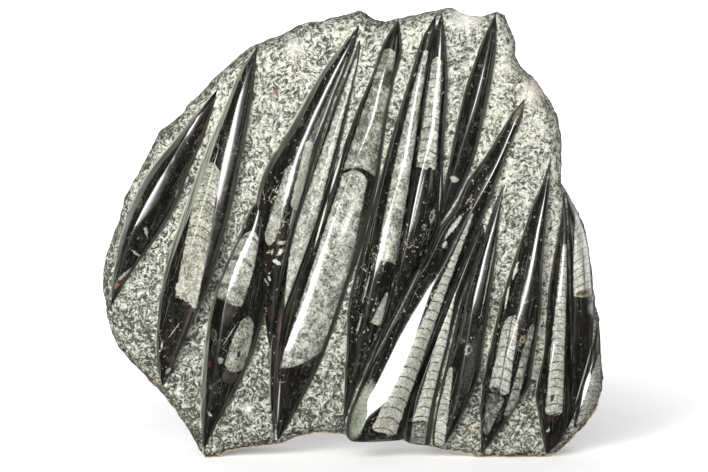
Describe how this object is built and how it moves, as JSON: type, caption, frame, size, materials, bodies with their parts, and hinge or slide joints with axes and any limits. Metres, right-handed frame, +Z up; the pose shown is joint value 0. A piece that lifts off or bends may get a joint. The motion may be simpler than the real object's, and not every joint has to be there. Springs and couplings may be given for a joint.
{
  "type": "orthoceras fossil plate",
  "caption": "Free-standing black limestone plate with a sawn back, a pecked ground and long polished spindles over straight fossil shells.",
  "frame": {"origin": "middle of the plate's box, on the surface it stands on", "axes": "+X to the right along the face, +Y from the face to the sawn back, +Z up"},
  "size_m": [0.504, 0.0946, 0.449],
  "materials": {
    "polished_stone": "polished",
    "pecked_stone": "pecked, matt"
  },
  "bodies": {
    "root": {"orthoceras_plate": "polished_stone"}
  },
  "joints": []
}
